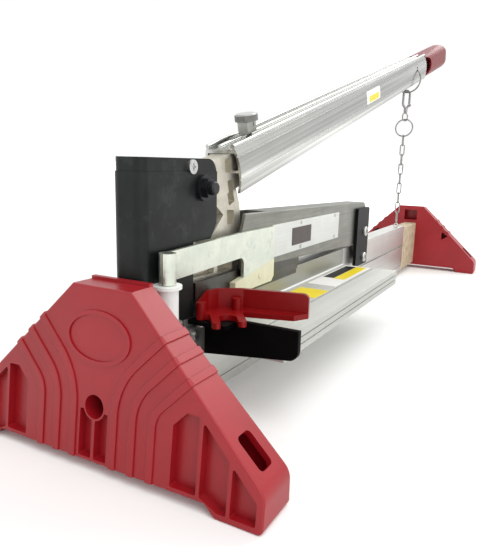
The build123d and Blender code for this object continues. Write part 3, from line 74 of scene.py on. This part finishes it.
def newFinish(name, look):
    # one finish from its entry in the dictionary below, where the keys are explained
    clouds, grains, scuffs = patterns["cloud"], patterns["grain"], patterns["scuff"]
    material = bpy.data.materials.new(name)
    material.use_nodes = True
    tree = material.node_tree
    tree.nodes.clear()
    texture = addNode(tree, "ShaderNodeTexCoord").outputs
    coords = texture["Object"]
    if "turn" in look:
        coords = addNode(
            tree, "ShaderNodeMapping", {"Rotation": look["turn"]}, {"Vector": coords},
        ).outputs[0]
    stretched = coords
    if "stretch" in look:
        stretched = addNode(
            tree, "ShaderNodeMapping", {"Scale": look["stretch"]}, {"Vector": coords},
        ).outputs[0]
    cloud = addNode(
        tree, "ShaderNodeTexNoise",
        {
            "Scale": 1 / (look["toneSize"] * mm), "Detail": clouds["detail"], "Roughness": clouds["weight"],
        },
        {"Vector": coords},
    ).outputs["Fac"]
    spread = addNode(
        tree, "ShaderNodeMapRange",
        {"From Min": clouds["low"], "From Max": clouds["high"], "To Min": 0.0, "To Max": 1.0},
        {"Value": cloud},
    ).outputs["Result"]
    colour = addNode(
        tree, "ShaderNodeMix",
        {6: linear(look["colour"]), 7: linear(look["tone"])}, {0: spread}, data_type="RGBA",
    ).outputs[2]
    grain = addNode(
        tree, "ShaderNodeTexNoise",
        {
            "Scale": 1 / (look["grit"] * mm), "Detail": look.get("detail", grains["detail"]),
            "Roughness": grains["weight"],
        },
        {"Vector": stretched},
    ).outputs["Fac"]
    if "streak" in look:
        streaks = addNode(
            tree, "ShaderNodeMapRange",
            {
                "From Min": grains["low"], "From Max": grains["high"],
                "To Min": 0.0, "To Max": look["streakShare"],
            },
            {"Value": grain},
        ).outputs["Result"]
        colour = addNode(
            tree, "ShaderNodeMix", {7: linear(look["streak"])}, {0: streaks, 6: colour}, data_type="RGBA",
        ).outputs[2]
    if "scuff" in look:  # sparse patches where the coat is rubbed or stained
        rubbed = addNode(
            tree, "ShaderNodeTexNoise",
            {
                "Scale": 1 / (look["scuffSize"] * mm), "Detail": scuffs["detail"],
                "Roughness": scuffs["weight"],
            },
            {"Vector": coords},
        ).outputs["Fac"]
        rubShare = addNode(
            tree, "ShaderNodeMapRange",
            {
                "From Min": scuffs["low"], "From Max": scuffs["high"],
                "To Min": 0.0, "To Max": look["scuffShare"],
            },
            {"Value": rubbed},
        ).outputs["Result"]
        colour = addNode(
            tree, "ShaderNodeMix", {7: linear(look["scuff"])}, {0: rubShare, 6: colour}, data_type="RGBA",
        ).outputs[2]
    if "paintedLight" in look:  # a zone between two corners painted to another tone: painted shade on the beam, a painted highlight on the table's lip
        low, high = (place(*corner) for corner in look["paintedLightZone"])
        offset = addNode(
            tree, "ShaderNodeVectorMath", {1: (low + high) / 2}, {0: coords}, operation="SUBTRACT",
        ).outputs[0]
        apart = addNode(tree, "ShaderNodeVectorMath", None, {0: offset}, operation="ABSOLUTE").outputs[0]
        past = addNode(
            tree, "ShaderNodeVectorMath", {1: (high - low) / 2}, {0: apart}, operation="SUBTRACT",
        ).outputs[0]
        sides = addNode(tree, "ShaderNodeSeparateXYZ", None, {0: past}).outputs
        outside = sides["X"]
        for side in ("Y", "Z"):
            outside = addNode(
                tree, "ShaderNodeMath", None, {0: outside, 1: sides[side]}, operation="MAXIMUM",
            ).outputs[0]
        paintedLightShare = addNode(
            tree, "ShaderNodeMapRange",
            {
                "From Min": -look["paintedLightBlur"] * mm, "From Max": look["paintedLightBlur"] * mm,
                "To Min": 1.0, "To Max": 0.0,
            },
            {"Value": outside},
        ).outputs["Result"]
        colour = addNode(
            tree, "ShaderNodeMix", {7: linear(look["paintedLight"])}, {0: paintedLightShare, 6: colour}, data_type="RGBA",
        ).outputs[2]
    if "crown" in look:  # faces turned along this axis are painted brighter: a painted highlight
        facing = addNode(
            tree, "ShaderNodeVectorMath", {1: look["crownAxis"]}, {0: texture["Normal"]},
            operation="DOT_PRODUCT",
        ).outputs["Value"]
        crownShare = addNode(
            tree, "ShaderNodeMapRange",
            {"From Min": crownBand[0], "From Max": crownBand[1], "To Min": 0.0, "To Max": 1.0},
            {"Value": facing},
        ).outputs["Result"]
        colour = addNode(
            tree, "ShaderNodeMix", {7: linear(look["crown"])}, {0: crownShare, 6: colour}, data_type="RGBA",
        ).outputs[2]
    roughness = addNode(
        tree, "ShaderNodeMapRange",
        {
            "From Min": grains["low"], "From Max": grains["high"],
            "To Min": look["rough"] - look["roughSpread"], "To Max": look["rough"] + look["roughSpread"],
        },
        {"Value": grain},
    ).outputs["Result"]
    links = {"Base Color": colour, "Roughness": roughness}
    if "gritRise" in look:
        links["Normal"] = addNode(
            tree, "ShaderNodeBump",
            {"Strength": look.get("bump", usualBump), "Distance": look["gritRise"] * mm}, {"Height": grain},
        ).outputs["Normal"]
    shader = addNode(
        tree, "ShaderNodeBsdfPrincipled",
        {
            "Metallic": look.get("metal", 0.0),
            "IOR": look.get("ior", 1.5),
            "Specular IOR Level": look.get("specular", 0.5),
            "Subsurface Weight": look.get("subsurface", 0.0),
        },
        links,
    )
    addNode(tree, "ShaderNodeOutputMaterial", None, {"Surface": shader.outputs[0]})
    return material


handleRise = math.radians(15.2)  # the handle's slope

# colour and tone mix in clouds of toneSize mm, and streak runs with the grain
# scuff lies in patches of scuffSize mm; painted shade and painted highlight fill a zone of the drawing; a
# painted highlight lies on faces along an axis
# grit and gritRise are the grain's width and height in mm, stretch draws it out and turn tilts it
# rough varies with the grain by roughSpread
finishes = {
    # injection-moulded ABS: fine spark-eroded grain, satin red
    "mouldedAbs": {
        "colour": "#A3131F", "tone": "#98101B", "toneSize": 60, "grit": 0.9, "gritRise": 0.05, "rough": 0.37,
        "roughSpread": 0.05, "bump": 0.15, "ior": 1.53,
    },
    # dipped vinyl grip: softer and deeper red
    "gripVinyl": {
        "colour": "#7E0B14", "tone": "#740911", "toneSize": 40, "grit": 0.9, "gritRise": 0.05, "rough": 0.42,
        "roughSpread": 0.05, "bump": 0.15, "specular": 0.35,
    },
    # the fence's ABS comes from a polished mould: smoother, so it looks deeper
    "polishedAbs": {
        "colour": "#8A0A0E", "tone": "#7E080B", "toneSize": 40, "grit": 1.0, "gritRise": 0.02, "rough": 0.32,
        "roughSpread": 0.04, "bump": 0.15, "ior": 1.53, "specular": 0.25,
    },
    # natural rubber pads: dull and slightly dusty
    "padRubber": {
        "colour": "#1C1C1C", "tone": "#262626", "toneSize": 15, "grit": 0.8, "gritRise": 0.1, "rough": 0.8,
        "roughSpread": 0.08,
    },
    # extruded aluminium, mill finish: die lines run along the beam, drawn coarse enough to show
    "beamAluminium": {
        "colour": "#DADAD6", "tone": "#D1D1CD", "toneSize": 90, "grit": 5.0, "detail": 0.5, "rough": 0.42,
        "roughSpread": 0.02, "metal": 1.0, "stretch": (1.0, 0.008, 1.0), "streak": "#C2C2BE",
        "streakShare": 0.35, "paintedLight": "#A3A49C", "paintedLightBlur": 0.5,
        "paintedLightZone": ((11, 120, 70), (13, 481, 101)),  # the face above the table, darkened as a painted reflection of the table
    },
    # the table's extrusion is rubbed by boards: matt, its inner lip painted white as a painted highlight
    "tableAluminium": {
        "colour": "#CFD0CB", "tone": "#C7C8C3", "toneSize": 90, "grit": 5.0, "detail": 0.5, "rough": 0.6,
        "roughSpread": 0.02, "metal": 0.9, "stretch": (1.0, 0.008, 1.0), "streak": "#B9BAB5",
        "streakShare": 0.35, "paintedLight": "#FFFFFF", "paintedLightBlur": 0.1,
        "paintedLightZone": ((11, 120, 70), (13.3, 490, 80)),  # the lip along the beam, a painted highlight
    },
    # the handle's extrusion is smoother: its die lines are clearer and follow its slope
    "handleAluminium": {
        "colour": "#D2D3CF", "tone": "#C8C9C5", "toneSize": 90, "grit": 5.0, "detail": 0.5, "rough": 0.2,
        "roughSpread": 0.04, "metal": 1.0, "turn": (-handleRise, 0, 0), "stretch": (1.0, 0.008, 1.0),
        "streak": "#8B8C88", "streakShare": 0.8,
    },
    # beige filled resin block: matt, clouded
    "castResin": {
        "colour": "#D3C6AB", "tone": "#B1A284", "toneSize": 11, "grit": 1.0, "gritRise": 0.06, "rough": 0.6,
        "roughSpread": 0.08,
    },
    # black powder coat on folded steel: low orange peel, faintly green
    "blackPowder": {
        "colour": "#0A0E0D", "tone": "#191F1C", "toneSize": 30, "grit": 1.4, "gritRise": 0.05, "rough": 0.42,
        "roughSpread": 0.05, "bump": 0.3, "specular": 0.25, "scuff": "#3F4742", "scuffSize": 26,
        "scuffShare": 0.5,
    },
    # thin black paint on the hinge plates: a low sheen
    "platePaint": {
        "colour": "#060909", "tone": "#0C1010", "toneSize": 20, "grit": 1.2, "gritRise": 0.04, "rough": 0.45,
        "roughSpread": 0.05, "bump": 0.3, "specular": 0.13,
    },
    # matt black lacquer on the bracket: hardly any sheen
    "blackLacquer": {
        "colour": "#030404", "tone": "#060707", "toneSize": 30, "grit": 1.2, "gritRise": 0.04, "rough": 0.55,
        "roughSpread": 0.05, "bump": 0.3, "specular": 0.06,
    },
    # pressure die casting: dull grey, grainy
    "dieCast": {
        "colour": "#D6D1C4", "tone": "#C3BEB0", "toneSize": 18, "grit": 0.9, "gritRise": 0.1, "rough": 0.48,
        "roughSpread": 0.1, "metal": 0.85, "bump": 0.5,
    },
    # zinc-plated steel plate: pale, cool and faintly mottled
    "zincPlate": {
        "colour": "#DFE3D5", "tone": "#D0D7CB", "toneSize": 16, "grit": 1.0, "gritRise": 0.03, "rough": 0.34,
        "roughSpread": 0.08, "metal": 0.9, "scuff": "#A3ADA2", "scuffSize": 13, "scuffShare": 0.7,
    },
    # older zinc on the foot plate and clamp block: dull
    "dullZinc": {
        "colour": "#AFAFAA", "tone": "#9E9E99", "toneSize": 10, "grit": 0.9, "gritRise": 0.03, "rough": 0.45,
        "roughSpread": 0.08, "metal": 0.9,
    },
    # knurled steel knob: the knurling is dull and dark, the top faces painted bright as a painted highlight
    "knobSteel": {
        "colour": "#83827F", "tone": "#757471", "toneSize": 8, "grit": 0.6, "gritRise": 0.03, "rough": 0.36,
        "roughSpread": 0.08, "metal": 0.9, "crown": "#CFCFCD",
        "crownAxis": (0, -math.sin(handleRise), math.cos(handleRise)),
    },
    # oiled hot-rolled channel: warm grey with rolling streaks
    "rolledSteel": {
        "colour": "#8B8B83", "tone": "#7F7F78", "toneSize": 30, "grit": 1.8, "gritRise": 0.03, "rough": 0.4,
        "roughSpread": 0.08, "metal": 0.9, "stretch": (1.0, 0.04, 1.0), "streak": "#74746D",
        "streakShare": 0.25, "bump": 0.25,
    },
    # ground tool steel under oil: dark, with fine lines across
    "groundSteel": {
        "colour": "#5E5D58", "tone": "#53524E", "toneSize": 30, "grit": 0.8, "gritRise": 0.02, "rough": 0.36,
        "roughSpread": 0.08, "metal": 1.0, "stretch": (1.0, 1.0, 0.05), "streak": "#4A4945",
        "streakShare": 0.4,
    },
    # blackened screws and bolts: near black, with a metal's gleam
    "blackOxide": {
        "colour": "#1F2023", "tone": "#2A2B2E", "toneSize": 6, "grit": 0.6, "gritRise": 0.03, "rough": 0.36,
        "roughSpread": 0.08, "metal": 0.6,
    },
    # bright zinc on screws: pale and fairly smooth
    "boltZinc": {
        "colour": "#C9C9C6", "tone": "#B7B7B4", "toneSize": 8, "grit": 0.6, "gritRise": 0.02, "rough": 0.32,
        "roughSpread": 0.08, "metal": 1.0,
    },
    # nickel-plated wire: smooth, so it mirrors its surroundings
    "nickelWire": {
        "colour": "#9A9996", "tone": "#878683", "toneSize": 5, "grit": 0.5, "gritRise": 0.01, "rough": 0.24,
        "roughSpread": 0.06, "metal": 1.0,
    },
    # sintered bronze bush: brown-gold and dull
    "bushBronze": {
        "colour": "#9C7A45", "tone": "#8C6C3B", "toneSize": 5, "grit": 0.5, "gritRise": 0.03, "rough": 0.42,
        "roughSpread": 0.08, "metal": 1.0,
    },
    # natural nylon: cream and slightly translucent
    "naturalNylon": {
        "colour": "#EAE4C4", "tone": "#DFD8B6", "toneSize": 20, "grit": 0.9, "gritRise": 0.04, "rough": 0.45,
        "roughSpread": 0.06, "subsurface": 0.1,
    },
    # white acetal guide sleeve: smooth and a little waxy
    "whiteAcetal": {
        "colour": "#F1F1EE", "tone": "#E9E9E5", "toneSize": 12, "grit": 0.8, "gritRise": 0.03, "rough": 0.38,
        "roughSpread": 0.06, "subsurface": 0.05,
    },
    # stoved enamel on the badge field: dark brown, satin
    "badgeEnamel": {
        "colour": "#3E3230", "tone": "#372C2A", "toneSize": 12, "grit": 0.8, "gritRise": 0.01, "rough": 0.42,
        "roughSpread": 0.06,
    },
    # cast vinyl sheet, yellow, white and black, with a faint cockle
    "yellowVinyl": {
        "colour": "#FAE214", "tone": "#F2D911", "toneSize": 25, "grit": 2.5, "gritRise": 0.03, "rough": 0.36,
        "roughSpread": 0.05,
    },
    "whiteVinyl": {
        "colour": "#FAF9F5", "tone": "#F3F2ED", "toneSize": 25, "grit": 2.5, "gritRise": 0.03, "rough": 0.36,
        "roughSpread": 0.05,
    },
    "blackVinyl": {
        "colour": "#131312", "tone": "#191918", "toneSize": 25, "grit": 2.5, "gritRise": 0.03, "rough": 0.38,
        "roughSpread": 0.05, "specular": 0.15,
    },
    # satin aluminium label sheet: pale, with faint rolling lines
    "labelSheet": {
        "colour": "#DCDEDA", "tone": "#D3D5D1", "toneSize": 40, "grit": 1.6, "gritRise": 0.01, "rough": 0.4,
        "roughSpread": 0.05, "metal": 0.9, "stretch": (1.0, 0.03, 1.0), "streak": "#C8CAC6",
        "streakShare": 0.3, "bump": 0.2,
    },
}
made = {name: newFinish(name, look) for name, look in finishes.items()}
print("finishes made", len(made))

dress = {
    "mouldedAbs": ["front_foot", "rear_foot"],
    "gripVinyl": ["end_grip"],
    "polishedAbs": ["fence"],
    "padRubber": ["foot_pads"],
    "beamAluminium": ["main_beam"],
    "tableAluminium": ["side_table"],
    "handleAluminium": ["handle_extrusion"],
    "castResin": ["beam_end_block"],
    "blackPowder": ["lever_housing"],
    "platePaint": ["hinge_plate_right", "hinge_plate_left"],
    "blackLacquer": ["fence_bracket"],
    "dieCast": ["lever_casting"],
    "zincPlate": ["guide_arm", "sleeve_clamp"],
    "dullZinc": ["bracket_foot", "clamp_block"],
    "knobSteel": ["clamp_knob"],
    "rolledSteel": ["blade_holder"],
    "groundSteel": ["blade", "shear_bar"],
    "blackOxide": ["pivot_bolt", "pivot_nut", "foot_bolts", "housing_bolt"],
    "boltZinc": [
        "bracket_screws", "housing_screws", "fence_screw", "pivot_washers", "sleeve_screws", "hinge_bolt",
        "plate_bolt", "hinge_spacer", "hinge_nuts", "guide_post", "blade_screws", "label_rivets", "drive_pin",
        "chain_eye", "grip_rivets",
    ],
    "nickelWire": ["split_ring", "snap_hook", "hook_gate", "swivel_link", "chain_ring", "chain_links"],
    "bushBronze": ["holder_bush", "pivot_bush"],
    "naturalNylon": ["presser_block", "presser_screw"],
    "whiteAcetal": ["guide_sleeve"],
    "labelSheet": ["label_plate"],
}
for name, wearers in dress.items():
    for wearer in wearers:
        piece = nodes[wearer]
        piece.data.materials.clear()
        piece.data.materials.append(made[name])
print("nodes dressed", sum(len(w) for w in dress.values()))


cornerSteps = 5  # straight steps round a sheet's corner


def addSheet(name, spec):
    # a blank sheet with rounded corners on the face that carries it
    bpy.ops.object.select_all(action="DESELECT")
    bpy.ops.mesh.primitive_plane_add(size=1, location=spec["place"], rotation=spec["turn"])
    sheet = bpy.context.object
    sheet.name = name
    sheet.scale = (spec["long"] * mm, spec["wide"] * mm, 1)
    bpy.ops.object.transform_apply(location=False, rotation=False, scale=True)
    bpy.ops.object.mode_set(mode="EDIT")
    bpy.ops.mesh.select_all(action="SELECT")
    bpy.ops.mesh.bevel(offset=spec["corner"] * mm, segments=cornerSteps, affect="VERTICES")
    bpy.ops.object.mode_set(mode="OBJECT")
    if "wrap" in spec:  # lies on a curved face, so it gets cross rows and is pressed on
        bpy.ops.object.mode_set(mode="EDIT")
        across = sheet.matrix_world.to_3x3() @ Vector((0, 1, 0))
        for step in range(1, spec["rows"]):
            bpy.ops.mesh.select_all(action="SELECT")
            offset = (step / spec["rows"] - 0.5) * spec["wide"] * mm
            bpy.ops.mesh.bisect(plane_co=spec["place"] + across * offset, plane_no=across)
        bpy.ops.object.mode_set(mode="OBJECT")
        bpy.ops.object.transform_apply(location=True, rotation=True, scale=True)
        press = sheet.modifiers.new("press", "SHRINKWRAP")
        press.target = nodes[spec["wrap"]]
        press.wrap_method = "NEAREST_SURFACEPOINT"
        press.offset = spec.get("lift", 0) * mm
        bpy.ops.object.modifier_apply(modifier="press")
    film = sheet.modifiers.new("film", "SOLIDIFY")
    film.thickness = spec["thick"] * mm
    film.offset = 1
    bpy.ops.object.modifier_apply(modifier="film")
    bpy.ops.object.transform_apply(location=True, rotation=True, scale=True)
    sheet.data.materials.append(made[spec["finish"]])
    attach(sheet, spec["body"])


leverPivot = (118.7, 194.5)  # Y and Z of the lever's pivot in the drawing, mm


def alongHandle(x, along, above):
    # a place on the handle: along its line from the lever's pivot, and above that line
    run, rise = math.cos(handleRise), math.sin(handleRise)
    y = leverPivot[0] + along * run - above * rise
    z = leverPivot[1] + along * rise + above * run
    return place(x, y, z)


quarter = math.radians(90)
lyingFlat = (0, 0, quarter)
onHandle = (quarter, -handleRise, quarter)
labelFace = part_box("label_plate")[1][0] / mm
tableFace = 77.0  # the table's top in the drawing, mm
sheetThick = 0.2  # cast vinyl, mm
overlayThick = 0.1  # a sheet that lies on another, mm
sheets = {
    "badgeField": {
        "place": place(labelFace, 315.2, 136.9), "turn": (quarter, 0, quarter), "long": 53.5, "wide": 19.2,
        "corner": 0.8, "thick": 0.25, "finish": "badgeEnamel", "body": "blade_arm", "slot": "label_metal",
    },
    "tableSheetYellow": {
        "place": place(37.5, 293, tableFace), "turn": lyingFlat, "long": 40, "wide": 34, "corner": 1.0,
        "thick": sheetThick, "finish": "yellowVinyl", "body": "frame", "slot": "white_plastic",
    },
    "tableSheetWhite": {
        "place": place(36.3, 407.5, tableFace), "turn": lyingFlat, "long": 139, "wide": 34.5, "corner": 1.0,
        "thick": sheetThick, "finish": "whiteVinyl", "body": "frame", "slot": "white_plastic",
    },
    "tableSheetStripe": {
        "place": place(42.5, 427, tableFace + sheetThick), "turn": lyingFlat, "long": 93, "wide": 14,
        "corner": 0.6, "thick": overlayThick, "finish": "yellowVinyl", "body": "frame",
        "slot": "white_plastic",
    },
    "tableSheetBand": {
        "place": place(28, 427, tableFace + sheetThick), "turn": lyingFlat, "long": 88, "wide": 14,
        "corner": 0.6, "thick": overlayThick, "finish": "blackVinyl", "body": "frame",
        "slot": "black_plastic",
    },
    "handleSheetWhite": {
        "place": alongHandle(18.6, 453.5, 0.8), "turn": onHandle, "long": 64, "wide": 18, "corner": 2.5,
        "thick": sheetThick, "finish": "whiteVinyl", "body": "handle", "slot": "white_plastic",
        "wrap": "handle_extrusion", "rows": 8,
    },
    "handleSheetYellow": {
        "place": alongHandle(18.8, 456, -2.4), "turn": onHandle, "long": 46, "wide": 8.4, "corner": 1.0,
        "thick": overlayThick, "finish": "yellowVinyl", "body": "handle", "slot": "white_plastic",
        "wrap": "handle_extrusion", "rows": 4, "lift": sheetThick,
    },
}
for name, spec in sheets.items():
    addSheet(name, spec)
print("blank sheets laid", len(sheets))

camera = {
    "place": place(260.4, -257.3, 216.0),
    "forward": Vector((-0.4734, 0.8583, -0.1980)),
    "right": Vector((0.8730, 0.4871, 0.0238)),
    "up": Vector((-0.1168, 0.1616, 0.9799)),
    "focalLength": 552.18, "imageWidth": 487,  # pixels
    "sensorWidth": 36,  # mm
    "nearest": 0.01, "furthest": 50,  # metres
}
cameraData = bpy.data.cameras.new("viewCamera")
cameraData.sensor_fit = "HORIZONTAL"
cameraData.sensor_width = camera["sensorWidth"]
cameraData.lens = camera["focalLength"] / camera["imageWidth"] * camera["sensorWidth"]
cameraData.clip_start = camera["nearest"]
cameraData.clip_end = camera["furthest"]
cameraObject = bpy.data.objects.new("viewCamera", cameraData)
bpy.context.collection.objects.link(cameraObject)
turn = Matrix((camera["right"], camera["up"], -camera["forward"])).transposed()
cameraObject.matrix_world = Matrix.Translation(camera["place"]) @ turn.to_4x4()
bpy.context.scene.camera = cameraObject
print("camera set")

studio = {
    "floorSize": 60.0, "floorColour": "#FCFCFB", "floorRough": 0.5, "skyLight": 0.62,
    # the floor's glow that hides the horizon grows from nearReach to farReach, in metres
    "nearReach": 0.45, "farReach": 2.5, "farLift": 0.4,
    "sunPower": 0.85, "sunSpread": 45.0, "sunPlace": (0.7, -0.5, 2.4),
    "fillPower": 11.0, "fillSize": 1.6, "fillPlace": (1.6, -1.2, 1.1),
    "backPower": 46.0, "backSize": 2.2, "backPlace": (0.6, 2.2, 2.5),
    "aim": (0.0, -0.1, 0.15),
}


def seenDirectly(tree):
    # 1 for what the camera sees by itself, in a mirror or through glass, 0 for light on the object
    rays = addNode(tree, "ShaderNodeLightPath").outputs
    mirrored = addNode(
        tree, "ShaderNodeMath", None, {0: rays["Is Camera Ray"], 1: rays["Is Glossy Ray"]},
        operation="MAXIMUM",
    ).outputs[0]
    return addNode(
        tree, "ShaderNodeMath", None, {0: mirrored, 1: rays["Is Transmission Ray"]}, operation="MAXIMUM",
    ).outputs[0]


bpy.ops.object.select_all(action="DESELECT")
bpy.ops.mesh.primitive_plane_add(size=studio["floorSize"], location=(0, 0, 0))
floor = bpy.context.object
floor.name = "studioFloor"
floorFinish = bpy.data.materials.new("studioPaper")
floorFinish.use_nodes = True
floorTree = floorFinish.node_tree
floorTree.nodes.clear()
paper = addNode(
    floorTree, "ShaderNodeBsdfDiffuse",
    {"Color": linear(studio["floorColour"]), "Roughness": studio["floorRough"]},
)
floorCoords = addNode(floorTree, "ShaderNodeTexCoord").outputs["Object"]
away = addNode(floorTree, "ShaderNodeVectorMath", None, {0: floorCoords}, operation="LENGTH")
lift = addNode(
    floorTree, "ShaderNodeMapRange",
    {
        "From Min": studio["nearReach"], "From Max": studio["farReach"],
        "To Min": 0.0, "To Max": studio["farLift"],
    },
    {"Value": away.outputs["Value"]},
)
lifted = addNode(
    floorTree, "ShaderNodeMath", None, {0: lift.outputs["Result"], 1: seenDirectly(floorTree)},
    operation="MULTIPLY",
)
glow = addNode(floorTree, "ShaderNodeEmission", {"Color": (1, 1, 1, 1)}, {"Strength": lifted.outputs[0]})
paleFloor = addNode(floorTree, "ShaderNodeAddShader", None, {0: paper.outputs[0], 1: glow.outputs[0]})
addNode(floorTree, "ShaderNodeOutputMaterial", None, {"Surface": paleFloor.outputs[0]})
floor.data.materials.append(floorFinish)

world = bpy.data.worlds.new("studioSky")
bpy.context.scene.world = world
world.use_nodes = True
skyTree = world.node_tree
skyTree.nodes.clear()
strength = addNode(
    skyTree, "ShaderNodeMapRange",
    {"From Min": 0.0, "From Max": 1.0, "To Min": studio["skyLight"], "To Max": 1.0},
    {"Value": seenDirectly(skyTree)},
)
sky = addNode(
    skyTree, "ShaderNodeBackground", {"Color": (1, 1, 1, 1)}, {"Strength": strength.outputs["Result"]},
)
addNode(skyTree, "ShaderNodeOutputWorld", None, {"Surface": sky.outputs[0]})


def aimLamp(name, lampData, spot):
    lamp = bpy.data.objects.new(name, lampData)
    bpy.context.collection.objects.link(lamp)
    lamp.location = spot
    lamp.rotation_euler = (Vector(studio["aim"]) - Vector(spot)).to_track_quat("-Z", "Y").to_euler()


sunData = bpy.data.lights.new("keySun", "SUN")
sunData.energy = studio["sunPower"]
sunData.angle = math.radians(studio["sunSpread"])
aimLamp("keySun", sunData, studio["sunPlace"])
for name in ("fill", "back"):
    lampData = bpy.data.lights.new(name + "Lamp", "AREA")
    lampData.shape = "SQUARE"
    lampData.size = studio[name + "Size"]
    lampData.energy = studio[name + "Power"]
    aimLamp(name + "Lamp", lampData, studio[name + "Place"])
print("studio set")

bpy.context.scene.view_settings.view_transform = "Standard"
